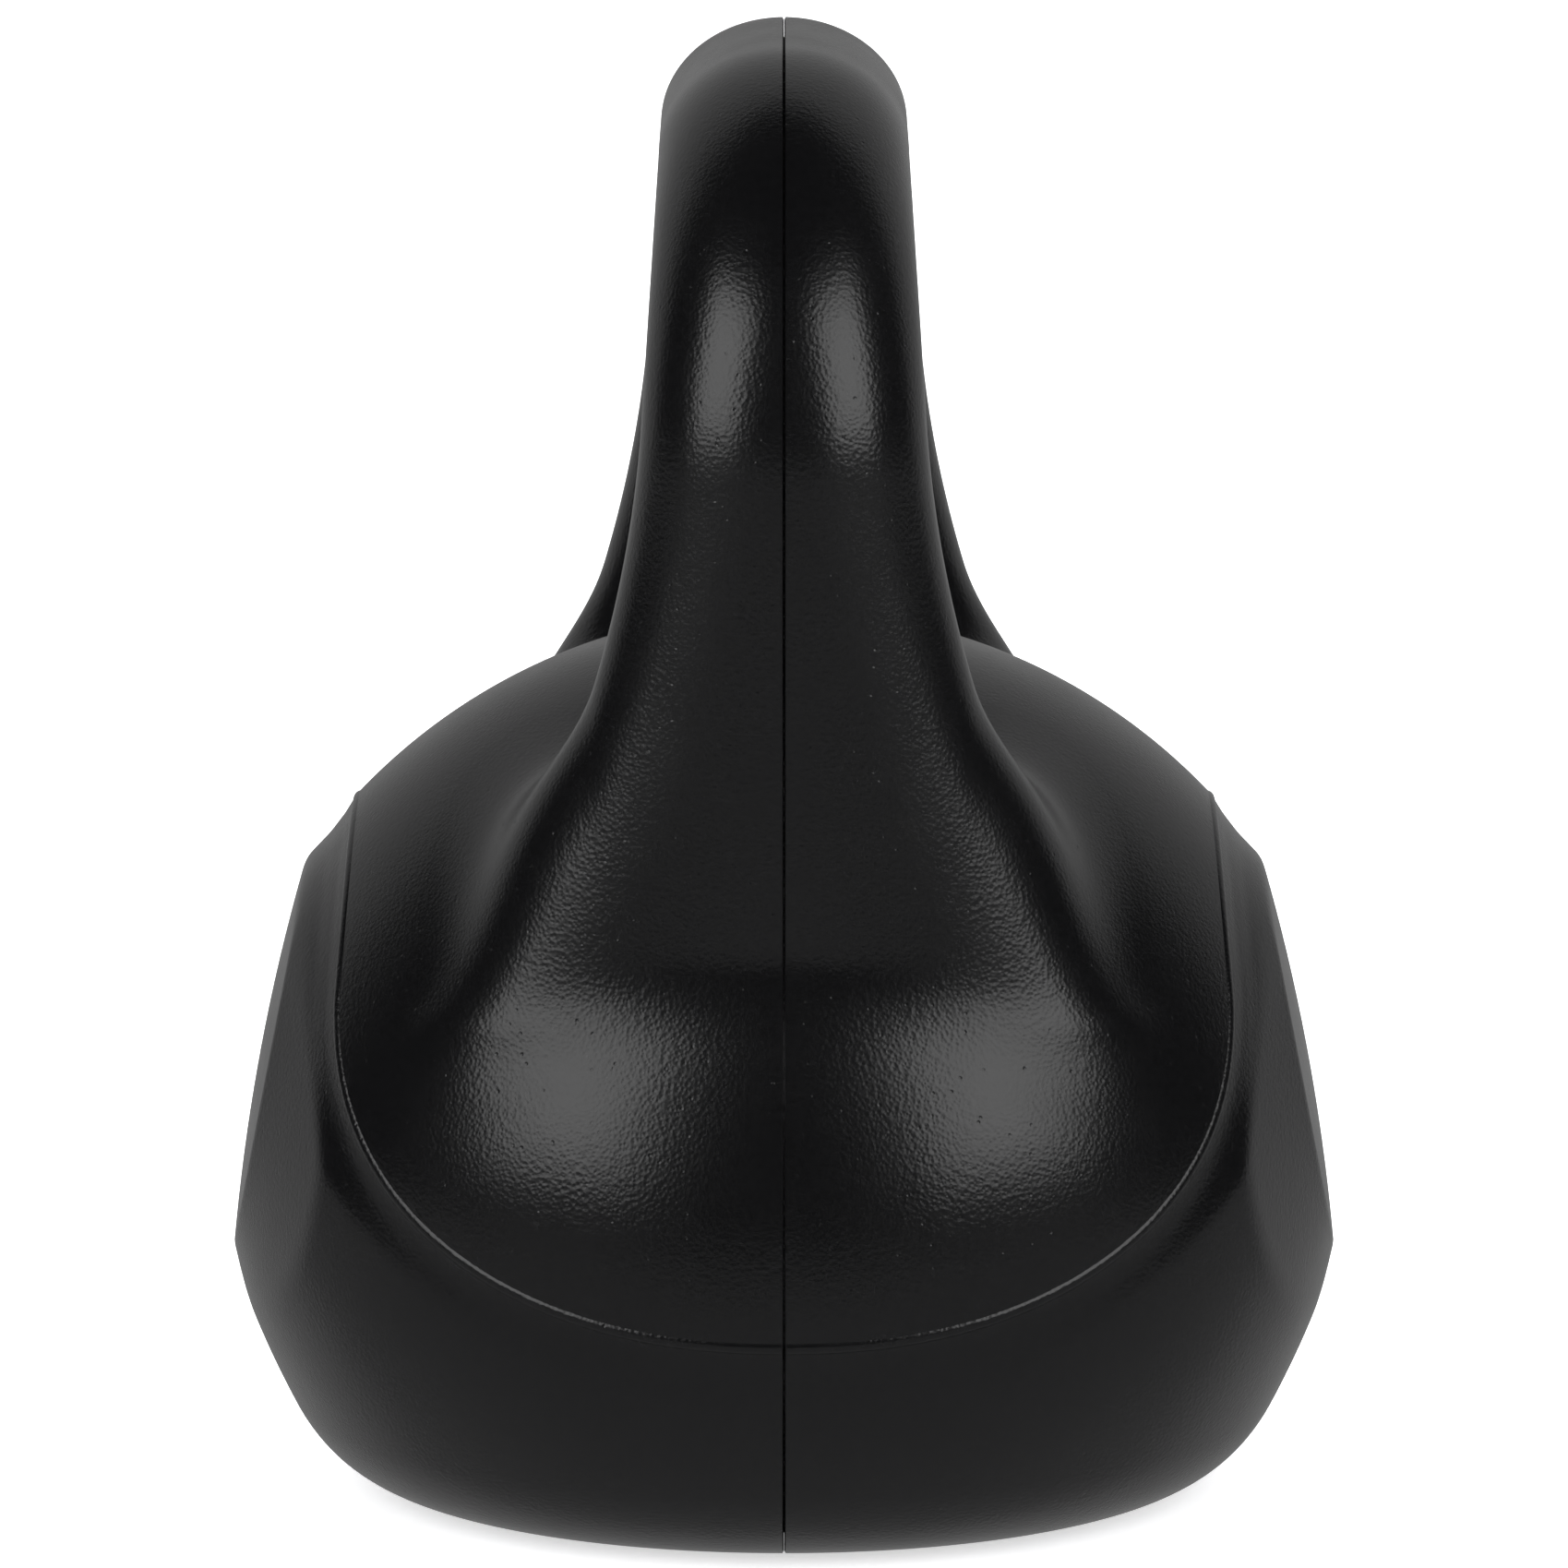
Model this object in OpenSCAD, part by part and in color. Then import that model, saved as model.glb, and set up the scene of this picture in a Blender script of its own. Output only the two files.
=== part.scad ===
// Kettlebell of one fixed weight: two moulded plastic half shells, joined on a lap seam all round the
// body and handle, hold a cast cement core. A bent steel bar runs through the handle into the core, and a
// push-in plug closes the filling hole in the base.
// Millimetres. +X runs along the handle, -Y is the front, +Z is up, and the origin is the middle of the base.

/* [Body] */
// Radius of the round body
body_radius = 89; // [87:0.5:91]
// Height of the body's centre above the base
body_centre_z = 43; // [41:0.5:45]
// How wide the rounding between the sides and the flat base is
base_round = 13.4; // [11:0.2:16]
// Share by which the front and back pull in at the height of the body's centre
chin_start = 0.034; // [0.03:0.001:0.045]
// Further share by which they pull in for each millimetre lower
chin_rate = 0.0031; // [0.0025:0.0001:0.0033]
// How quickly the two ends tuck in below the body's centre
end_tuck = 0.0001; // [0.00005:0.00001:0.00012]

/* [Disc faces] */
// Radius of the round face on the front and on the back
disc_radius = 31; // [29:0.5:33]
// Distance of the face from the body's centre, measured along its own axis
disc_reach = 80.5; // [80:0.1:81.5]
// How far the face's centre sits above the foot of that axis
disc_rise = 8.8; // [7:0.2:11]
// How far the face tips back from upright, in degrees
disc_tilt = 11; // [9:0.5:13]
// How far the middle of the face bulges
disc_dome = 1.6; // [0.5:0.1:2]
// Slope of the collar that falls away from the face, in degrees
collar_slope = 24; // [22:1:27]

/* [Handle] */
// Height of the middle of the grip above the base
grip_z = 204.4; // [200:0.2:206]
// Width of the grip from front to back
grip_width = 37.2; // [35:0.2:39]
// Thickness of the grip across the other way
grip_thickness = 31.4; // [29:0.2:33]
// Half the distance between the middles of the two legs
leg_x = 61; // [58:0.5:63]
// Bend radius of the handle's centre line at its two corners
corner_radius = 42; // [36:1:45]
// How much each leg widens towards the front and back for each millimetre below the grip
leg_taper = 0.064; // [0.05:0.001:0.075]
// How quickly the legs flare out above the shoulders
leg_flare = 0.003; // [0.0025:0.0001:0.0034]
// How far below the grip that flare starts
flare_start = 34.5; // [32:0.5:38]
// How wide the blend between the legs' flanks and the body is
shoulder_blend = 36; // [30:1:40]
// How wide that blend is on the ends, and low down, where the legs meet the round of the body
end_blend = 3; // [2:0.5:5]

/* [Shell] */
// Wall thickness of the plastic shells
wall = 3; // [2.6:0.1:3.4]
// How far the front shell's lip reaches into the back shell
lip = 1.8; // [1:0.1:2]
// Gap left at the end of the lip
lip_gap = 0.2; // [0.1:0.05:0.3]

/* [Bar and plug] */
// Diameter of the steel bar inside the handle
bar_d = 12; // [10:0.5:14]
// Radius of the filling hole in the base
hole_r = 14; // [12:0.5:16]
// Radius of the recess that the plug's head sits in
recess_r = 18; // [17.5:0.5:20]
// Depth of that recess
recess_depth = 1.2; // [1:0.1:1.4]

/* [Hidden] */

// Angle, in share, over which the pull-in of the front and back starts
chin_soft = 0.03;
// Rounding of the disc face's rim
rim_round = 0.6;
// Height where the corners meet the legs
corner_z = grip_z - corner_radius;
// The legs stop inside the body, this far above its centre and at no more than this half width
leg_end_rise = 30;
leg_end_z = body_centre_z + leg_end_rise;
leg_half_width_max = 50;
// The blend is narrow up to the first height and widens up to the second, and widens out to this distance
// from the middle
blend_low_z = body_centre_z + 41;
blend_high_z = body_centre_z + 92;
blend_out_y = 50;

// Sections of the skin are cut by planes that fan out round this point in the middle of the window.
window_z = 155;
// The fan's sections are measured from a loop that runs inside the handle and down through the body.
core_z = 48;
arch_power = 3.5;
bowl_power = 2;
reach_max = 130;
halvings = 18;
// Sections round the loop, how strongly they crowd towards the base, and points across each section
sections = 72;
crowding = 23;
outer_steps = 22;
inner_steps = 12;

// The bar follows the handle, then turns in to a foot under each leg
bar_r = bar_d/2;
bar_fit = 0.2;
bar_bend = corner_radius;
foot_bend = 14;
foot_z = 84;
foot_length = 16;
// Ribs that cradle the bar sit just inside the straight part of the grip and at the top of each leg
rib_thickness = 3;
rib_bite = 0.4;
rib_x = leg_x - corner_radius - rib_thickness;
rib_z = corner_z - rib_thickness;
// The plug's clearances, barb and hollow barrel, the pocket in the core above it, and its coin slot
head_gap = 0.2;
head_r = recess_r - head_gap;
barrel_gap = 0.1;
barrel_r = hole_r - barrel_gap;
barb_r = hole_r + 0.6;
barb_gap = 0.2;
barb_rise = 0.4;
barrel_lead = 0.6;
barrel_wall = 2;
barrel_top = 10;
pocket_r = hole_r + 2;
pocket_top = barrel_top + 2;
slot_length = 16;
slot_width = 3;
slot_top = 1.6;

// How far a cutter runs past what it cuts, and facets on large and small rounds
overcut = 1;
wide_fn = 96;
bar_fn = 48;

function share(t) = min(max(t, 0), 1);
function ease(t) = let (s = share(t)) s*s*(3 - 2*s);
function soft_positive(t, w) = (t + sqrt(t*t + w*w))/2;
function blend_min(a, b, k) = let (h = share(0.5 + 0.5*(b - a)/k)) b*(1 - h) + a*h - k*h*(1 - h);
function blend_max(a, b, k) = -blend_min(-a, -b, k);

// How far a point is outside (+) or inside (-) the handle's centre line, in the plane of the handle
function loop_gap(x, z) =
    let (dx = abs(x) - (leg_x - corner_radius), dz = z - corner_z)
    dz <= 0 ? abs(x) - leg_x : dx > 0 ? norm([dx, dz]) - corner_radius : z - grip_z;

// How far a point is outside (+) or inside (-) the handle, the body and the two together
function handle_gap(p) =
    let (
        drop = max(grip_z - p.z, 0),
        flared = leg_taper*drop + leg_flare*pow(max(drop - flare_start, 0), 2),
        half_width = min(grip_width/2 + flared, leg_half_width_max),
        half_thickness = grip_thickness/2,
        off = norm([loop_gap(p.x, p.z), max(leg_end_z - p.z, 0)])
    )
    (norm([off/half_thickness, p.y/half_width]) - 1)*min(half_width, half_thickness);

function disc_gap(p) =
    let (
        low = body_centre_z - p.z,
        out = abs(p.y)*cos(disc_tilt) - low*sin(disc_tilt),
        up = -abs(p.y)*sin(disc_tilt) - low*cos(disc_tilt) - disc_rise,
        r = norm([p.x, up]),
        face = r < disc_radius ? disc_dome*(1 - pow(r/disc_radius, 2)) : (disc_radius - r)*tan(collar_slope)
    )
    out - disc_reach - face;

function body_gap(p) =
    let (
        low = body_centre_z - p.z,
        pull_y = 1 + soft_positive(chin_start + chin_rate*low, chin_soft),
        pull_x = 1 + end_tuck*pow(max(low, 0), 2)
    )
    blend_max(norm([p.x*pull_x, p.y*pull_y, low]) - body_radius, disc_gap(p), rim_round);

function blend_width(p) =
    let (up = ease((p.z - blend_low_z)/(blend_high_z - blend_low_z)), out = ease(abs(p.y)/blend_out_y))
    end_blend + (shoulder_blend - end_blend)*up*out;
function skin_gap(p) =
    blend_max(blend_min(handle_gap(p), body_gap(p), blend_width(p)), -p.z, base_round);

// The fan: section i's angle round the window, and the radius of the inner loop at an angle
function fan_angle(i) = let (t = 360*i/sections - 90) t - crowding*cos(t);
function core_radius(a) =
    let (
        power = sin(a) > 0 ? arch_power : bowl_power,
        height = sin(a) > 0 ? grip_z - window_z : window_z - core_z
    )
    pow(pow(abs(cos(a))/leg_x, power) + pow(abs(sin(a))/height, power), -1/power);

// Where a ray from inside leaves the skin, or the surface that lies a depth under it
function reach(from, way, depth, near, far, left) =
    left == 0 ? (near + far)/2 :
    let (mid = (near + far)/2)
    skin_gap(from + mid*way) + depth < 0
        ? reach(from, way, depth, mid, far, left - 1)
        : reach(from, way, depth, near, mid, left - 1);
function skin_point(i, b, depth) =
    let (
        a = fan_angle(i),
        r = core_radius(a),
        from = [r*cos(a), 0, window_z + r*sin(a)],
        way = [cos(b)*cos(a), -sin(b), cos(b)*sin(a)],
        limit = cos(b) < 0 ? min(reach_max, -r/cos(b)) : reach_max
    )
    from + reach(from, way, depth, 0, limit, halvings)*way;

// One closed section of a half shell. Its inner half of the wall ends at seam_y, which makes the lap.
function at_y(p, y) = [p.x, y, p.z];
function half_section(i, seam_y) =
    let (
        outer = [for (j = [0:outer_steps]) skin_point(i, 180*j/outer_steps, 0)],
        inner = [for (j = [0:inner_steps]) skin_point(i, 180*j/inner_steps, wall)],
        mid_out = (outer[0] + inner[0])/2,
        mid_window = (outer[outer_steps] + inner[inner_steps])/2
    )
    [
        for (j = [0:outer_steps]) j % outer_steps == 0 ? at_y(outer[j], 0) : outer[j],
        at_y(mid_window, 0),
        at_y(mid_window, seam_y),
        at_y(inner[inner_steps], seam_y),
        for (j = [inner_steps - 1:-1:1]) inner[j],
        at_y(inner[0], seam_y),
        at_y(mid_out, seam_y),
        at_y(mid_out, 0)
    ];

// One closed section of the space inside the two shells
function core_section(i) =
    let (front = [for (j = [0:inner_steps]) skin_point(i, 180*j/inner_steps, wall)])
    [
        for (p = front) p,
        for (j = [inner_steps - 1:-1:1]) at_y(front[j], -front[j].y)
    ];

// A ring of closed sections as one solid
module ring_of(sections_list) {
    n = len(sections_list);
    m = len(sections_list[0]);
    polyhedron(
        points = [for (s = sections_list) for (p = s) p],
        faces = [
            for (i = [0:n - 1]) for (j = [0:m - 1])
                let (i2 = (i + 1) % n, j2 = (j + 1) % m)
                for (half = [0, 1])
                    half == 0 ? [i*m + j, i*m + j2, i2*m + j2] : [i*m + j, i2*m + j2, i2*m + j]
        ]
    );
}

// A rib that cradles the bar from the front: a plate with a half-round notch, in its own XY plane
module cradle_plate() {
    half_t = grip_thickness/2 - wall + rib_bite;
    half_w = grip_width/2 - wall + rib_bite;
    notch_r = bar_r + bar_fit;
    linear_extrude(rib_thickness, center = true)
        polygon([
            for (a = [190:10:350]) [half_t*cos(a), half_w*sin(a)],
            for (a = [340:-20:200]) notch_r*[cos(a), sin(a)]
        ]);
}

module cradle_ribs() {
    for (side = [-1, 1]) {
        translate([side*rib_x, 0, grip_z]) rotate([0, -90, 0]) cradle_plate();
        translate([side*leg_x, 0, rib_z]) cradle_plate();
    }
}

module filling_hole() {
    translate([0, 0, -overcut]) cylinder(h = wall + 2*overcut, r = hole_r, $fn = wide_fn);
    translate([0, 0, -overcut]) cylinder(h = recess_depth + overcut, r = recess_r, $fn = wide_fn);
}

module half_shell(seam_y) {
    difference() {
        union() {
            ring_of([for (i = [0:sections - 1]) half_section(i, seam_y)]);
            cradle_ribs();
        }
        filling_hole();
    }
}

module front_shell() {
    color("#1c1c1e") half_shell(lip);
}

module back_shell() {
    color("#1c1c1e") mirror([0, 1, 0]) half_shell(-lip - lip_gap);
}

module bend(radius) {
    rotate([90, 0, 0]) rotate_extrude(angle = 90, $fn = wide_fn) translate([radius, 0])
        circle(bar_r, $fn = bar_fn);
}

// One half of the bar, from the middle of the grip to the foot that turns in under the leg
module half_bar() {
    straight = leg_x - bar_bend;
    leg_top = grip_z - bar_bend;
    leg_foot = foot_z + foot_bend;
    translate([0, 0, grip_z]) rotate([0, 90, 0]) cylinder(h = straight, r = bar_r, $fn = bar_fn);
    translate([straight, 0, leg_top]) bend(bar_bend);
    translate([leg_x, 0, leg_foot]) cylinder(h = leg_top - leg_foot, r = bar_r, $fn = bar_fn);
    translate([leg_x - foot_bend, 0, leg_foot]) rotate([0, 90, 0]) bend(foot_bend);
    translate([leg_x - foot_bend - foot_length, 0, foot_z]) rotate([0, 90, 0])
        cylinder(h = foot_length, r = bar_r, $fn = bar_fn);
}

module bar() {
    half_bar();
    mirror([1, 0, 0]) half_bar();
}

module handle_bar() {
    color("#8f9296") bar();
}

module ballast_core() {
    color("#9a958c") difference() {
        ring_of([for (i = [0:sections - 1]) core_section(i)]);
        bar();
        cradle_ribs();
        mirror([0, 1, 0]) cradle_ribs();
        translate([0, 0, -overcut]) cylinder(h = pocket_top + overcut, r = pocket_r, $fn = wide_fn);
    }
}

// The plug: a thin round head in the recess, a barrel through the hole and a barb behind the wall
module filler_plug() {
    color("#26262a") difference() {
        rotate_extrude($fn = wide_fn) polygon([
            [0, head_gap],
            [head_r, head_gap],
            [head_r, recess_depth],
            [barrel_r, recess_depth],
            [barrel_r, wall + barb_gap],
            [barb_r, wall + barb_gap + barb_rise],
            [barrel_r - barrel_lead, barrel_top],
            [barrel_r - barrel_lead - barrel_wall, barrel_top],
            [barrel_r - barrel_lead - barrel_wall, wall],
            [0, wall]
        ]);
        translate([-slot_length/2, -slot_width/2, -overcut])
            cube([slot_length, slot_width, overcut + slot_top]);
    }
}

front_shell();
back_shell();
ballast_core();
handle_bar();
filler_plug();
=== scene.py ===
"""Kettlebell with a black plastic skin, dressed over its CAD frame.

Shape sizes are in millimetres, as in the CAD, and are turned into metres when a mesh is made. Studio sizes
are in metres. +X runs along the grip, -Y is the front, +Z is up, and the base stands on z = 0.
"""

import math

import bmesh
import bpy
import numpy as np
from mathutils import Matrix, Vector


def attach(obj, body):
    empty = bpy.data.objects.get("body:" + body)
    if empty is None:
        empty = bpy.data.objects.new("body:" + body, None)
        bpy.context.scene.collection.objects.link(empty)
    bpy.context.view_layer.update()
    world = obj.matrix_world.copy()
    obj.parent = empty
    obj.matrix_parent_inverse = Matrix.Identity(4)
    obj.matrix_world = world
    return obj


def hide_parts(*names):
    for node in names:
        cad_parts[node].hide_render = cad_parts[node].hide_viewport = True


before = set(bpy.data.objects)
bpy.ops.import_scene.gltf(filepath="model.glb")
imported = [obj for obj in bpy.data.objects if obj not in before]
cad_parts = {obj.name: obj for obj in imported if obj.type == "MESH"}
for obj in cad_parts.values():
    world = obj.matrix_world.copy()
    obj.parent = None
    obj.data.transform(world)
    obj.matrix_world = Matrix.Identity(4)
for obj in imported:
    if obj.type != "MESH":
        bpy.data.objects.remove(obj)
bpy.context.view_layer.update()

MM = 0.001

# The handle: a squared loop that widens towards the front and back below the grip
GRIP_Z = 204.4
GRIP_WIDTH = 37.2
GRIP_THICKNESS = 31.4
LEG_X = 61
CORNER_RADIUS = 42
LEG_TAPER = 0.064
LEG_FLARE = 0.003
FLARE_START = 34.5
LEG_HALF_WIDTH_MAX = 50
LEG_END_RISE = 30

# The body: a ball whose front and back pull in downwards, cut off by a domed disc on each side
BODY_RADIUS = 89
BODY_CENTRE_Z = 43
CHIN_START = 0.034
CHIN_RATE = 0.0031
CHIN_SOFT = 0.03
END_TUCK = 0.0001
DISC_RADIUS = 31
DISC_REACH = 80.5
DISC_RISE = 8.8
DISC_TILT = math.radians(11)
DISC_DOME = 1.6
COLLAR_SLOPE = math.radians(24)
RIM_ROUND = 0.6
SHOULDER_BLEND = 36
END_BLEND = 3
BLEND_LOW_RISE = 41
BLEND_HIGH_RISE = 92
BLEND_OUT_Y = 50
BASE_ROUND = 13.4

# The raised flap that hangs from each end of the handle over the body: a U outline, the bead along it,
# the step down outside it and the crease beyond the step
FLAP_HALF_WIDTH = 66.3
FLAP_DEEP_NARROWING = 0.07
FLAP_TOP_RISE = 38
FLAP_DROP = 43.4
FLAP_POWER = 2.3
BEAD_RADIUS = 1.2
BEAD_SINK = 0.95
BEAD_SIDES = 32
BEAD_U_STEPS = 190
BEAD_SHOULDER_STEPS = 240
BEAD_SEAM_GAP = 0.4
EDGE_DEPTH = 0.5
EDGE_RUN = 1.5
STEP_DEPTH = 0.8
STEP_RUN = 3.6
CREASE_RUN = 4.2
STEP_SOFT = 0.1

# The room that the gloss mirrors: how bright it is low down, behind the object and elsewhere, and where
# along each axis of a unit sphere the light fades from none to full
ROOM_LOW = 0.27
ROOM_BEHIND = 0.36
ROOM_DARK = 0.014
LOW_FADE = (0.03, -0.08)
BEHIND_FADE = (-0.22, -0.6)
OVERHEAD_FADE = (0.9, 0.78)

# The two keys, alike on both sides of the camera, and the wash over the paper
KEY_AZIMUTH = 44.5
KEY_RISE = 27
KEY_DISTANCE = 0.95
KEY_SIZE = (0.53, 0.66)
KEY_BRIGHTNESS = 2.75
WASH_RISE = 62
WASH_DISTANCE = 1.7
WASH_SIZE = (2.4, 1.8)
WASH_BRIGHTNESS = 2.4

# The paper, and the light that it gives off by itself, so that it stays pale far from the lamps
PAPER_FLOOR = 3.2
PAPER_BEND = 1.0
PAPER_HEIGHT = 4.5
PAPER_SPOKES = 96
PAPER_BEND_STEPS = 16
PAPER_GLOW = 0.6

# The shell and the joint between its halves
WALL = 3.0
GROOVE_HALF_WIDTH = 0.24
GROOVE_DEPTH = 0.4
JOINT_GAP = 0.03

# The filling hole, its recess and the small chamfer on the recess's rim
HOLE_RADIUS = 14.0
RECESS_RADIUS = 18.0
RECESS_DEPTH = 1.2
RECESS_CHAMFER = 0.35

# The mesh: sections fan out round the middle of the window, and rays leave a loop that runs inside the
# handle and the body
WINDOW_Z = 155
CORE_Z = 48
ARCH_POWER = 3.5
BOWL_POWER = 2
REACH_MAX = 130
HALVINGS = 26
SECTIONS = 560
CROWDING = math.radians(38)
OUTER_STEPS = 316
INNER_STEPS = 20
OVERCUT = 1
CUTTER_STEPS = 128
SHARP_DEGREES = 32
NORMAL_PROBE = 0.01


# ---------------------------------------------------------------- camera and studio
def aim(thing, target):
    thing.rotation_mode = "QUATERNION"
    thing.rotation_quaternion = (Vector(target) - thing.location).to_track_quat("-Z", "Y")


def make_camera():
    data = bpy.data.cameras.new("camera")
    data.sensor_width = 36
    data.lens = 319.6
    data.clip_start = 0.1
    data.clip_end = 20
    camera = bpy.data.objects.new("camera", data)
    bpy.context.scene.collection.objects.link(camera)
    distance, rise = 2.1, math.radians(9.5)
    target = Vector((0, 0, 0.1063))
    camera.location = target + distance * Vector((math.cos(rise), 0, math.sin(rise)))
    aim(camera, target)
    bpy.context.scene.camera = camera


def softbox(name, azimuth, rise, distance, size, brightness):
    """A rectangular light that faces the object. Azimuth is from the camera's side, towards +Y."""
    data = bpy.data.lights.new(name, "AREA")
    data.shape = "RECTANGLE"
    data.size, data.size_y = size
    data.energy = brightness * math.pi * size[0] * size[1]
    light = bpy.data.objects.new(name, data)
    bpy.context.scene.collection.objects.link(light)
    a, e = math.radians(azimuth), math.radians(rise)
    target = Vector((0, 0, 0.11))
    towards = Vector((math.cos(a) * math.cos(e), math.sin(a) * math.cos(e), math.sin(e)))
    light.location = target + distance * towards
    aim(light, target)
    light.visible_camera = False
    return light


def make_room(scene):
    """What the gloss mirrors: a dark room, with pale paper low down and behind, and nothing overhead."""
    world = bpy.data.worlds.new("room")
    scene.world = world
    world.use_nodes = True
    nodes, links = world.node_tree.nodes, world.node_tree.links
    split = nodes.new("ShaderNodeSeparateXYZ")
    links.new(nodes.new("ShaderNodeTexCoord").outputs["Generated"], split.inputs["Vector"])

    def fade(axis, ends, strength):
        node = nodes.new("ShaderNodeMapRange")
        node.interpolation_type = "SMOOTHSTEP"
        node.inputs["From Min"].default_value, node.inputs["From Max"].default_value = ends
        node.inputs["To Max"].default_value = strength
        links.new(split.outputs[axis], node.inputs["Value"])
        return node.outputs["Result"]

    def joined(operation, first, second):
        node = nodes.new("ShaderNodeMath")
        node.operation = operation
        for k, value in enumerate((first, second)):
            if isinstance(value, float):
                node.inputs[k].default_value = value
            else:
                links.new(value, node.inputs[k])
        return node.outputs["Value"]

    low_paper = fade("Z", LOW_FADE, ROOM_LOW)
    behind = joined("MULTIPLY", fade("X", BEHIND_FADE, 1), fade("Z", OVERHEAD_FADE, ROOM_BEHIND))
    light = joined("MAXIMUM", joined("MAXIMUM", low_paper, behind), ROOM_DARK)
    links.new(light, nodes["Background"].inputs["Strength"])
    nodes["Background"].inputs["Color"].default_value = (1, 1, 1, 1)


def make_studio():
    scene = bpy.context.scene
    scene.view_settings.view_transform = "Standard"

    make_room(scene)

    # Two keys beside the camera, and a wash that whitens the paper without showing in the gloss
    for name, azimuth in (("key_left", -KEY_AZIMUTH), ("key_right", KEY_AZIMUTH)):
        softbox(name, azimuth, KEY_RISE, KEY_DISTANCE, KEY_SIZE, KEY_BRIGHTNESS)
    wash = softbox("paper_wash", 180, WASH_RISE, WASH_DISTANCE, WASH_SIZE, WASH_BRIGHTNESS)
    wash.visible_glossy = False

    # A round floor of pale paper that sweeps up to a wall all round, farther out than any camera
    profile = []
    for a in np.linspace(0, math.pi / 2, PAPER_BEND_STEPS + 1):
        profile.append((PAPER_FLOOR + PAPER_BEND * math.sin(a), PAPER_BEND * (1 - math.cos(a))))
    profile.append((PAPER_FLOOR + PAPER_BEND, PAPER_HEIGHT))
    turns = [2 * math.pi * k / PAPER_SPOKES for k in range(PAPER_SPOKES)]
    points = [(r * math.cos(a), r * math.sin(a), z) for r, z in profile for a in turns]
    faces = [tuple(range(PAPER_SPOKES))]
    for row in range(len(profile) - 1):
        for k in range(PAPER_SPOKES):
            here = row * PAPER_SPOKES + k
            there = row * PAPER_SPOKES + (k + 1) % PAPER_SPOKES
            faces.append((here, here + PAPER_SPOKES, there + PAPER_SPOKES, there))
    mesh = bpy.data.meshes.new("paper_sweep")
    mesh.from_pydata(points, [], faces)
    mesh.polygons.foreach_set("use_smooth", [True] * len(mesh.polygons))
    sweep = bpy.data.objects.new("paper_sweep", mesh)
    scene.collection.objects.link(sweep)
    paper = bpy.data.materials.new("pale_paper")
    paper.use_nodes = True
    shader = paper.node_tree.nodes["Principled BSDF"]
    shader.inputs["Base Color"].default_value = (0.86, 0.86, 0.87, 1)
    shader.inputs["Roughness"].default_value = 0.9
    shader.inputs["Specular IOR Level"].default_value = 0.1
    shader.inputs["Emission Color"].default_value = (1, 1, 1, 1)
    shader.inputs["Emission Strength"].default_value = PAPER_GLOW
    mesh.materials.append(paper)
    sweep.visible_glossy = False


# ---------------------------------------------------------------- shape
def blend_min(a, b, k):
    h = np.clip(0.5 + 0.5 * (b - a) / k, 0, 1)
    return b * (1 - h) + a * h - k * h * (1 - h)


def blend_max(a, b, k):
    return -blend_min(-a, -b, k)


def soft_positive(t, w):
    return (t + np.sqrt(t * t + w * w)) / 2


def soft_ramp(t, w):
    """0 below t = 0, 1 above t = 1, with corners rounded by w."""
    return (1 + np.sqrt(t * t + w * w) - np.sqrt((t - 1) ** 2 + w * w)) / 2


def loop_gap(x, z):
    """How far a point is outside (+) or inside (-) the handle's centre line, in its plane."""
    corner_z = GRIP_Z - CORNER_RADIUS
    dx = np.abs(x) - (LEG_X - CORNER_RADIUS)
    dz = z - corner_z
    corner = np.hypot(np.maximum(dx, 0), np.maximum(dz, 0)) - CORNER_RADIUS
    leg = np.abs(x) - LEG_X
    return np.where(dz <= 0, leg, np.where(dx > 0, corner, z - GRIP_Z))


def handle_gap(x, y, z):
    drop = np.maximum(GRIP_Z - z, 0)
    flared = LEG_TAPER * drop + LEG_FLARE * np.maximum(drop - FLARE_START, 0) ** 2
    half_width = np.minimum(GRIP_WIDTH / 2 + flared, LEG_HALF_WIDTH_MAX)
    half_thickness = GRIP_THICKNESS / 2
    below_end = np.maximum(BODY_CENTRE_Z + LEG_END_RISE - z, 0)
    off = np.hypot(loop_gap(x, z), below_end)
    return (np.hypot(off / half_thickness, y / half_width) - 1) * np.minimum(half_width, half_thickness)


def flap_gap(y, z):
    """How far a point is outside (+) or inside (-) the flap's U outline, seen from the end."""
    top = BODY_CENTRE_Z + FLAP_TOP_RISE
    down = np.maximum(top - z, 0)
    half_width = FLAP_HALF_WIDTH - FLAP_DEEP_NARROWING * np.maximum(z - top, 0)
    r = np.maximum(np.hypot(y, down), 1e-6)
    s = ((np.abs(y) / half_width) ** FLAP_POWER + (down / FLAP_DROP) ** FLAP_POWER) ** (1 / FLAP_POWER)
    return r * (1 - 1 / np.maximum(s, 1e-6))


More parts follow.
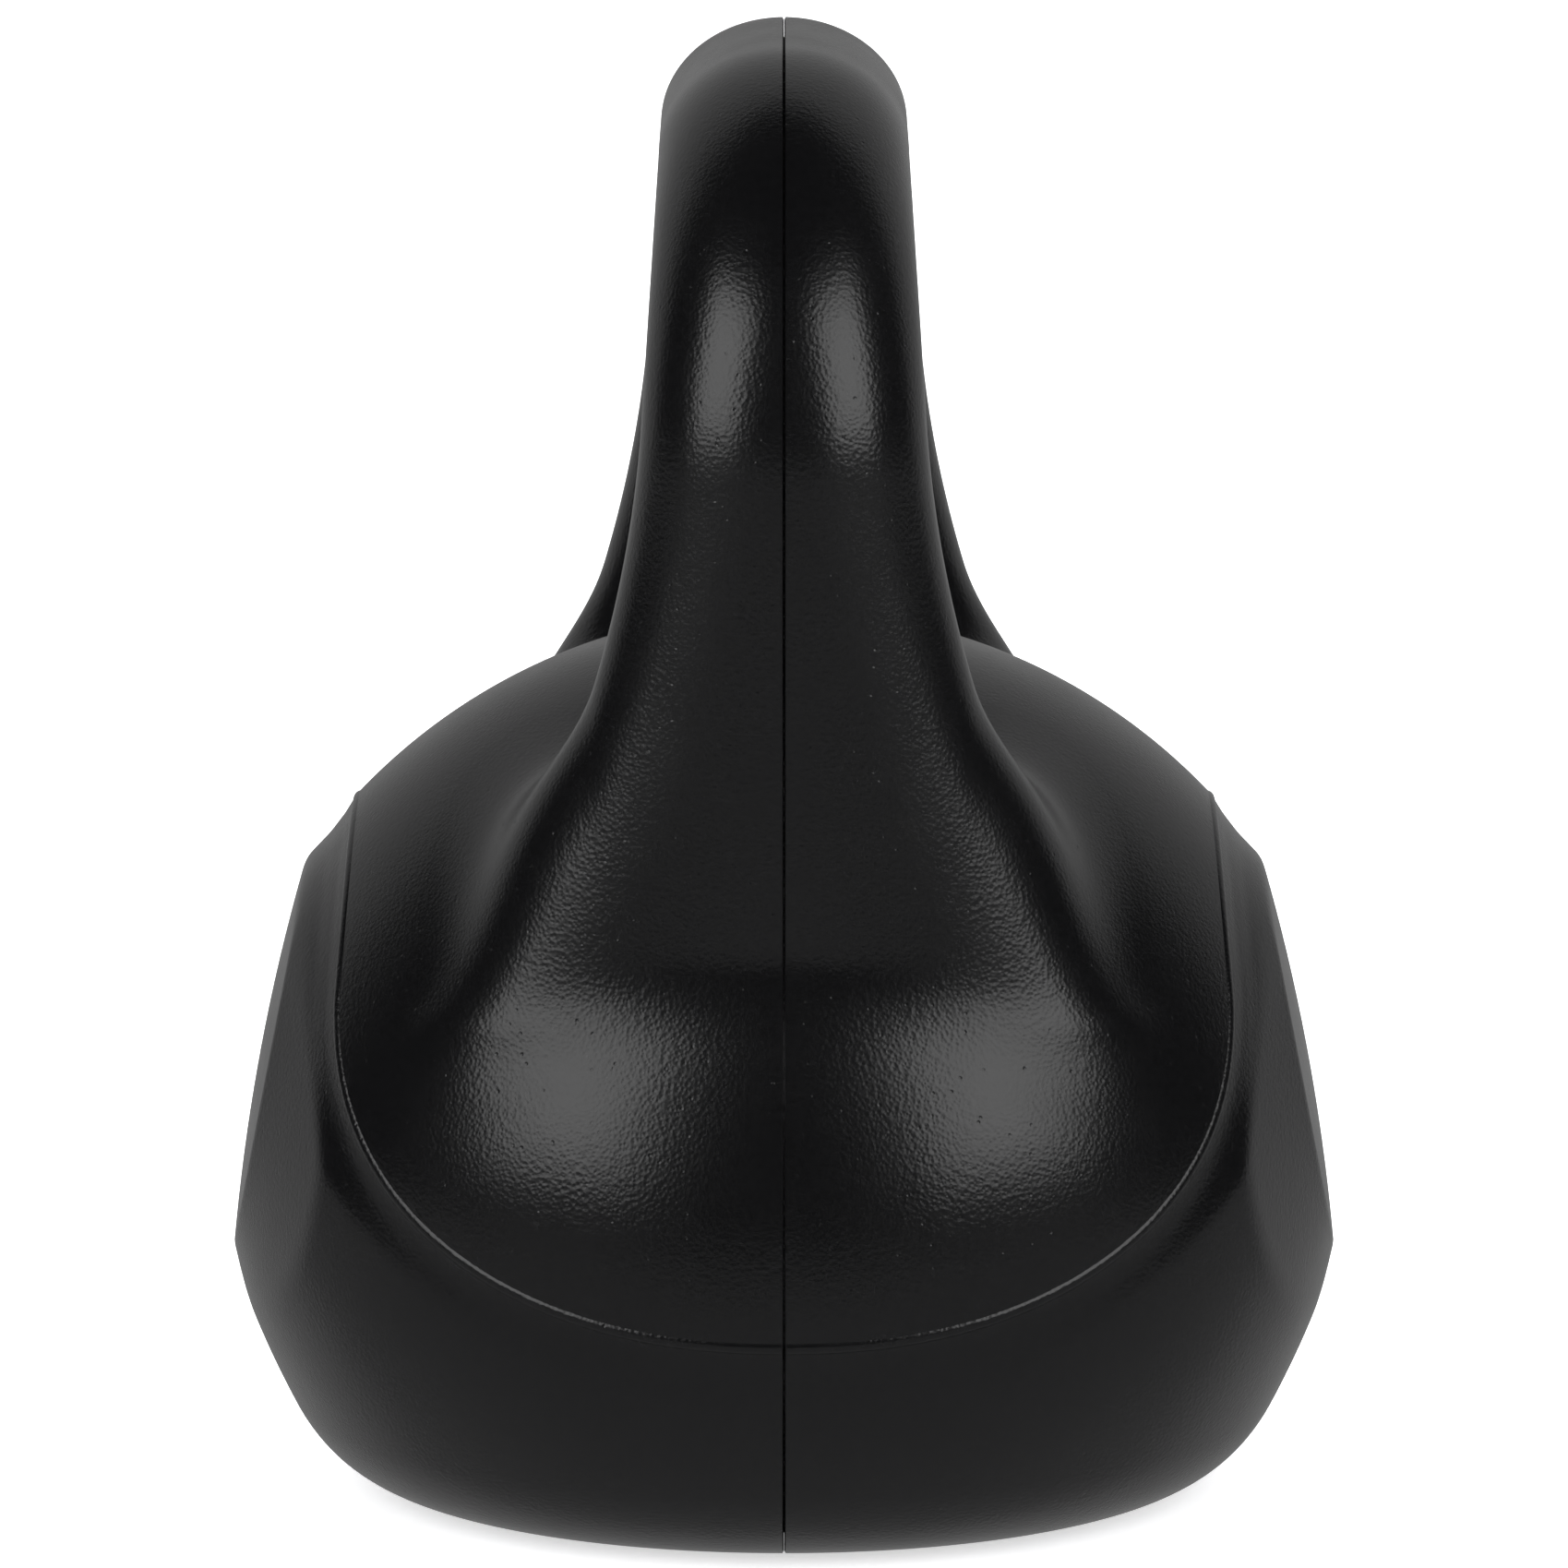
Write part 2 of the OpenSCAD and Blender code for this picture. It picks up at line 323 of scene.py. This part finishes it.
def body_gap(x, y, z):
    low = BODY_CENTRE_Z - z
    pull_y = 1 + soft_positive(CHIN_START + CHIN_RATE * low, CHIN_SOFT)
    pull_x = 1 + END_TUCK * np.maximum(low, 0) ** 2
    ball = np.sqrt((x * pull_x) ** 2 + (y * pull_y) ** 2 + low * low) - BODY_RADIUS

    out = np.abs(y) * math.cos(DISC_TILT) - low * math.sin(DISC_TILT)
    up = -np.abs(y) * math.sin(DISC_TILT) - low * math.cos(DISC_TILT) - DISC_RISE
    r = np.hypot(x, up)
    dome = DISC_DOME * (1 - (r / DISC_RADIUS) ** 2)
    collar = (DISC_RADIUS - r) * math.tan(COLLAR_SLOPE)
    disc = out - DISC_REACH - np.where(r < DISC_RADIUS, dome, collar)

    # Outside the flap the skin steps in, and comes back out beyond the crease
    outside = flap_gap(y, z)
    edge = soft_ramp(outside / EDGE_RUN, STEP_SOFT)
    stepped = soft_ramp(outside / STEP_RUN, STEP_SOFT)
    in_crease = 1 - soft_ramp((outside - STEP_RUN) / CREASE_RUN, STEP_SOFT)
    ball = ball + (EDGE_DEPTH * edge + (STEP_DEPTH - EDGE_DEPTH) * stepped) * in_crease
    return ball * (1 - stepped) + blend_max(ball, disc, RIM_ROUND) * stepped


def ease(t):
    s = np.clip(t, 0, 1)
    return s * s * (3 - 2 * s)


def blend_width(y, z):
    """Wide on the legs' flanks; narrow on the ends and low down, where the legs meet the body."""
    up = ease((z - BODY_CENTRE_Z - BLEND_LOW_RISE) / (BLEND_HIGH_RISE - BLEND_LOW_RISE))
    return END_BLEND + (SHOULDER_BLEND - END_BLEND) * up * ease(np.abs(y) / BLEND_OUT_Y)


def skin_gap(x, y, z):
    whole = blend_min(handle_gap(x, y, z), body_gap(x, y, z), blend_width(y, z))
    return blend_max(whole, -z, BASE_ROUND)


def core_radius(a):
    power = np.where(np.sin(a) > 0, ARCH_POWER, BOWL_POWER)
    height = np.where(np.sin(a) > 0, GRIP_Z - WINDOW_Z, WINDOW_Z - CORE_Z)
    return ((np.abs(np.cos(a)) / LEG_X) ** power + (np.abs(np.sin(a)) / height) ** power) ** (-1 / power)


def bisect(inside_at, far):
    """Closes in on the distance, between 0 and far, at which inside_at turns false."""
    near = 0.0
    for _ in range(HALVINGS):
        mid = (near + far) / 2
        inside = inside_at(mid)
        near = np.where(inside, mid, near)
        far = np.where(inside, far, mid)
    return (near + far) / 2


def skin_distance(a, b, depth):
    """Distance along a ray from the inner loop to the skin, or to the surface a depth under it."""
    r = core_radius(a)
    x0, z0 = r * np.cos(a), WINDOW_Z + r * np.sin(a)
    wx, wy, wz = np.cos(b) * np.cos(a), -np.sin(b), np.cos(b) * np.sin(a)
    inward = np.minimum(np.cos(b), -1e-9)
    far = np.where(np.cos(b) < 0, np.minimum(REACH_MAX, -r / inward), REACH_MAX)
    return bisect(lambda d: skin_gap(x0 + d * wx, d * wy, z0 + d * wz) + depth < 0, far)


def along(a, b, distance):
    r = core_radius(a)
    return np.stack(
        [
            (r + distance * np.cos(b)) * np.cos(a),
            -distance * np.sin(b),
            WINDOW_Z + (r + distance * np.cos(b)) * np.sin(a),
        ],
        axis=-1,
    )


def half_shell_rings():
    """The front shell's closed sections, as an array of sections by points by xyz."""
    t = 2 * math.pi * np.arange(SECTIONS) / SECTIONS - math.pi / 2
    a = (t - CROWDING * np.cos(t))[:, None]
    start = np.zeros_like(a)
    end = np.full_like(a, math.pi)
    reach_out = skin_distance(a, start, 0)
    reach_in = skin_distance(a, end, 0)

    # Rows crowd at the groove's two edges, and run evenly between them
    edge_out = GROOVE_HALF_WIDTH / reach_out
    edge_in = math.pi - GROOVE_HALF_WIDTH / reach_in
    even = np.linspace(0, 1, OUTER_STEPS)[None, :]
    first, last = 3 * edge_out, math.pi - 3 * (math.pi - edge_in)
    b = np.concatenate([edge_out, 1.8 * edge_out, first + (last - first) * even,
                        math.pi - 1.8 * (math.pi - edge_in), edge_in], axis=1)
    a_wide = np.broadcast_to(a, b.shape)
    outer = along(a_wide, b, skin_distance(a_wide, b, 0))

    b_under = np.broadcast_to(np.linspace(math.pi, 0, INNER_STEPS)[None, :], (SECTIONS, INNER_STEPS))
    a_under = np.broadcast_to(a, b_under.shape)
    inner = along(a_under, b_under, skin_distance(a_under, b_under, WALL))

    groove_out = along(a, start, reach_out - GROOVE_DEPTH)
    groove_in = along(a, end, reach_in - GROOVE_DEPTH)
    rings = np.concatenate([groove_out, outer, groove_in, inner], axis=1)
    rings[:, :, 1] = np.minimum(rings[:, :, 1], -JOINT_GAP)
    return rings


def ring_object(name, rings, inside_out):
    """One closed mesh from a ring of closed sections."""
    n, m = rings.shape[:2]
    i, j = np.meshgrid(np.arange(n), np.arange(m), indexing="ij")
    i2, j2 = (i + 1) % n, (j + 1) % m
    corners = [i * m + j, i * m + j2, i2 * m + j2, i2 * m + j]
    if inside_out:
        corners = corners[::-1]
    loops = np.stack(corners, axis=-1).reshape(-1).astype(np.int32)
    count = n * m
    mesh = bpy.data.meshes.new(name)
    mesh.vertices.add(count)
    mesh.vertices.foreach_set("co", (rings * MM).astype(np.float32).reshape(-1))
    mesh.loops.add(count * 4)
    mesh.loops.foreach_set("vertex_index", loops)
    mesh.polygons.add(count)
    mesh.polygons.foreach_set("loop_start", np.arange(0, count * 4, 4, dtype=np.int32))
    mesh.update(calc_edges=True)
    mesh.validate()
    thing = bpy.data.objects.new(name, mesh)
    bpy.context.scene.collection.objects.link(thing)
    return thing


def lathe_object(name, profile, steps):
    """A closed solid from an outline of (radius, z) that starts and ends on the axis."""
    points, faces = [(0, 0, profile[0][1] * MM)], []
    rims = profile[1:-1]
    for r, z in rims:
        for k in range(steps):
            a = 2 * math.pi * k / steps
            points.append((r * math.cos(a) * MM, r * math.sin(a) * MM, z * MM))
    points.append((0, 0, profile[-1][1] * MM))
    top = len(points) - 1
    for k in range(steps):
        k2 = (k + 1) % steps
        faces.append((0, 1 + k2, 1 + k))
        for row in range(len(rims) - 1):
            low, high = 1 + row * steps, 1 + (row + 1) * steps
            faces.append((low + k, low + k2, high + k2, high + k))
        last = 1 + (len(rims) - 1) * steps
        faces.append((last + k, last + k2, top))
    mesh = bpy.data.meshes.new(name)
    mesh.from_pydata(points, [], faces)
    thing = bpy.data.objects.new(name, mesh)
    bpy.context.scene.collection.objects.link(thing)
    return thing


def bead_path():
    """Points on the front skin along the flap's edge: up from the seam, over and down again."""
    top = BODY_CENTRE_Z + FLAP_TOP_RISE
    lowest = math.pi / 2 - BEAD_SEAM_GAP / FLAP_DROP
    turn = np.linspace(lowest, 0, BEAD_U_STEPS)
    c, s = np.cos(turn) / FLAP_HALF_WIDTH, np.sin(turn) / FLAP_DROP
    r = (c ** FLAP_POWER + s ** FLAP_POWER) ** (-1 / FLAP_POWER)
    y, z = -r * np.cos(turn), top - r * np.sin(turn)
    x = bisect(lambda d: skin_gap(d, y, z) < 0, REACH_MAX)
    u_shape = np.stack([x, y, z], axis=-1)

    rise = np.linspace(0, math.pi, BEAD_SHOULDER_STEPS)[1:-1]

    def over(d):
        up = d * np.sin(rise)
        return d * np.cos(rise), FLAP_DEEP_NARROWING * up - FLAP_HALF_WIDTH, top + up

    shoulder = np.stack(over(bisect(lambda d: skin_gap(*over(d)) < 0, REACH_MAX)), axis=-1)
    return np.concatenate([u_shape, shoulder, (u_shape * (-1, 1, 1))[::-1]])


def unit(vectors):
    return vectors / np.linalg.norm(vectors, axis=-1, keepdims=True)


def make_bead():
    """A closed thin tube, mostly sunk in the front skin, along the flap's edge."""
    path = bead_path()
    probes = np.eye(3) * NORMAL_PROBE
    slopes = [skin_gap(*(path + probe).T) - skin_gap(*(path - probe).T) for probe in probes]
    outward = unit(np.stack(slopes, axis=-1))
    run = unit(np.gradient(path, axis=0))
    side = unit(np.cross(run, outward))
    outward = np.cross(side, run)
    turn = (2 * math.pi * np.arange(BEAD_SIDES) / BEAD_SIDES)[None, :, None]
    centre = path - outward * BEAD_SINK
    spokes = np.cos(turn) * outward[:, None] + np.sin(turn) * side[:, None]
    rings = centre[:, None] + BEAD_RADIUS * spokes
    tube = bmesh.new()
    rows = [[tube.verts.new(point * MM) for point in ring] for ring in rings]
    for row, after in zip(rows, rows[1:]):
        for k in range(BEAD_SIDES):
            n = (k + 1) % BEAD_SIDES
            tube.faces.new((row[k], row[n], after[n], after[k]))
    tube.faces.new(rows[0][::-1])
    tube.faces.new(rows[-1])
    bmesh.ops.recalc_face_normals(tube, faces=tube.faces[:])
    mesh = bpy.data.meshes.new("bead")
    tube.to_mesh(mesh)
    tube.free()
    thing = bpy.data.objects.new("bead", mesh)
    bpy.context.scene.collection.objects.link(thing)
    return thing


def combine(thing, other, operation):
    """Cuts other out of thing, or joins it on, for good."""
    modifier = thing.modifiers.new("combine", "BOOLEAN")
    modifier.operation = operation
    modifier.solver = "MANIFOLD"
    modifier.object = other
    graph = bpy.context.evaluated_depsgraph_get()
    made = bpy.data.meshes.new_from_object(thing.evaluated_get(graph))
    thing.modifiers.clear()
    old = thing.data
    made.name = thing.name + "_mesh"
    thing.data = made
    bpy.data.meshes.remove(old)


def finish_surface(thing, material):
    mesh = thing.data
    mesh.polygons.foreach_set("use_smooth", np.ones(len(mesh.polygons), dtype=bool))
    mesh.set_sharp_from_angle(angle=math.radians(SHARP_DEGREES))
    mesh.materials.clear()
    mesh.materials.append(material)


# ---------------------------------------------------------------- materials
def new_material(name):
    material = bpy.data.materials.new(name)
    material.use_nodes = True
    nodes = material.node_tree.nodes
    return material, nodes, material.node_tree.links, nodes["Principled BSDF"]


def place(nodes):
    return nodes.new("ShaderNodeTexCoord").outputs["Object"]


def noise(nodes, links, where, size_mm, detail=2.0, roughness=0.5):
    node = nodes.new("ShaderNodeTexNoise")
    node.inputs["Scale"].default_value = 1 / (size_mm * MM)
    node.inputs["Detail"].default_value = detail
    node.inputs["Roughness"].default_value = roughness
    links.new(where, node.inputs["Vector"])
    return node.outputs["Fac"]


def cells(nodes, links, where, size_mm, smooth=0.4):
    node = nodes.new("ShaderNodeTexVoronoi")
    node.feature = "SMOOTH_F1"
    node.inputs["Scale"].default_value = 1 / (size_mm * MM)
    node.inputs["Smoothness"].default_value = smooth
    links.new(where, node.inputs["Vector"])
    return node.outputs["Distance"]


def remap(nodes, links, value, from_low, from_high, to_low, to_high):
    node = nodes.new("ShaderNodeMapRange")
    node.inputs["From Min"].default_value = from_low
    node.inputs["From Max"].default_value = from_high
    node.inputs["To Min"].default_value = to_low
    node.inputs["To Max"].default_value = to_high
    links.new(value, node.inputs["Value"])
    return node.outputs["Result"]


def bump(nodes, links, height, depth_mm, strength=1.0, under=None):
    node = nodes.new("ShaderNodeBump")
    node.inputs["Strength"].default_value = strength
    node.inputs["Distance"].default_value = depth_mm * MM
    links.new(height, node.inputs["Height"])
    if under is not None:
        links.new(under, node.inputs["Normal"])
    return node.outputs["Normal"]


def tint(nodes, links, value, stops):
    node = nodes.new("ShaderNodeValToRGB")
    ramp = node.color_ramp
    while len(ramp.elements) < len(stops):
        ramp.elements.new(0.5)
    for element, (at, colour) in zip(ramp.elements, stops):
        element.position = at
        element.color = (*colour, 1)
    links.new(value, node.inputs["Fac"])
    return node.outputs["Color"]


def leather_grain_plastic(name, dark, light, gloss_low, gloss_high):
    """Black moulded plastic with a fine pebbled grain, shallow pits and a soft, slightly uneven sheen."""
    material, nodes, links, shader = new_material(name)
    where = place(nodes)
    pebbles = cells(nodes, links, where, size_mm=0.62, smooth=0.5)
    waves = noise(nodes, links, where, size_mm=0.9, detail=3.0, roughness=0.6)
    spots = cells(nodes, links, where, size_mm=2.6, smooth=0.05)
    pits = remap(nodes, links, spots, 0.03, 0.12, 0.0, 1.0)
    normal = bump(nodes, links, pebbles, depth_mm=0.046, strength=0.8)
    normal = bump(nodes, links, waves, depth_mm=0.02, strength=0.7, under=normal)
    normal = bump(nodes, links, pits, depth_mm=0.06, strength=0.7, under=normal)
    links.new(normal, shader.inputs["Normal"])
    wear = noise(nodes, links, where, size_mm=22, detail=4.0, roughness=0.6)
    links.new(remap(nodes, links, wear, 0.3, 0.7, gloss_low, gloss_high), shader.inputs["Roughness"])
    links.new(tint(nodes, links, waves, [(0.3, dark), (0.7, light)]), shader.inputs["Base Color"])
    shader.inputs["IOR"].default_value = 1.5
    return material


def cast_cement():
    """Grey cast cement: mottled, with sand grains and air pits."""
    material, nodes, links, shader = new_material("cast_cement")
    where = place(nodes)
    mottle = noise(nodes, links, where, size_mm=9, detail=6.0, roughness=0.6)
    sand = cells(nodes, links, where, size_mm=0.9, smooth=0.2)
    spots = cells(nodes, links, where, size_mm=5, smooth=0.05)
    pits = remap(nodes, links, spots, 0.05, 0.2, 0.0, 1.0)
    stops = [(0.25, (0.24, 0.23, 0.21)), (0.5, (0.38, 0.365, 0.335)), (0.75, (0.5, 0.48, 0.45))]
    links.new(tint(nodes, links, mottle, stops), shader.inputs["Base Color"])
    links.new(remap(nodes, links, mottle, 0.3, 0.7, 0.82, 0.95), shader.inputs["Roughness"])
    normal = bump(nodes, links, sand, depth_mm=0.15, strength=0.6)
    normal = bump(nodes, links, pits, depth_mm=0.4, strength=0.8, under=normal)
    links.new(normal, shader.inputs["Normal"])
    return material


def drawn_steel():
    """Plain drawn steel bar with fine lines round its skin and a little scale."""
    material, nodes, links, shader = new_material("drawn_steel")
    where = place(nodes)
    scale = noise(nodes, links, where, size_mm=4, detail=5.0, roughness=0.6)
    lines = noise(nodes, links, where, size_mm=0.4, detail=2.0, roughness=0.5)
    stops = [(0.35, (0.2, 0.2, 0.205)), (0.65, (0.42, 0.42, 0.43))]
    links.new(tint(nodes, links, scale, stops), shader.inputs["Base Color"])
    links.new(remap(nodes, links, scale, 0.3, 0.7, 0.28, 0.5), shader.inputs["Roughness"])
    links.new(bump(nodes, links, lines, depth_mm=0.02, strength=0.4), shader.inputs["Normal"])
    shader.inputs["Metallic"].default_value = 1
    return material


def dress(node, material):
    """Gives a carried-over CAD node its finished material."""
    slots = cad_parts[node].material_slots
    for k in range(len(slots)):
        slots[k].material = material


# ---------------------------------------------------------------- the object
def make_skins():
    skin = leather_grain_plastic(
        "grained_black_plastic",
        dark=(0.0016, 0.0016, 0.0018),
        light=(0.0028, 0.0028, 0.0031),
        gloss_low=0.22,
        gloss_high=0.27,
    )
    rings = half_shell_rings()
    cutter = lathe_object(
        "hole_cutter",
        [
            (0, -OVERCUT),
            (RECESS_RADIUS + RECESS_CHAMFER + OVERCUT, -OVERCUT),
            (RECESS_RADIUS, RECESS_CHAMFER),
            (RECESS_RADIUS, RECESS_DEPTH),
            (HOLE_RADIUS, RECESS_DEPTH),
            (HOLE_RADIUS, WALL + OVERCUT),
            (0, WALL + OVERCUT),
        ],
        CUTTER_STEPS,
    )
    bead = make_bead()
    mirror = np.array([1, -1, 1])
    for name, node, rows, inside_out in (
        ("front_skin", "front_shell", rings, False),
        ("back_skin", "back_shell", rings * mirror, True),
    ):
        shell = ring_object(name, rows, inside_out)
        combine(shell, cutter, "DIFFERENCE")
        combine(shell, bead, "UNION")
        finish_surface(shell, skin)
        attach(shell, "root")
        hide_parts(node)
        bead.data.transform(Matrix.Scale(-1, 4, (0, 1, 0)))
        bead.data.flip_normals()
    bpy.data.objects.remove(bead)
    bpy.data.objects.remove(cutter)


make_camera()
make_studio()
make_skins()
dress("ballast_core", cast_cement())
dress("handle_bar", drawn_steel())
plug_plastic = leather_grain_plastic(
    "plug_plastic",
    dark=(0.006, 0.006, 0.0065),
    light=(0.011, 0.011, 0.012),
    gloss_low=0.42,
    gloss_high=0.5,
)
dress("filler_plug", plug_plastic)
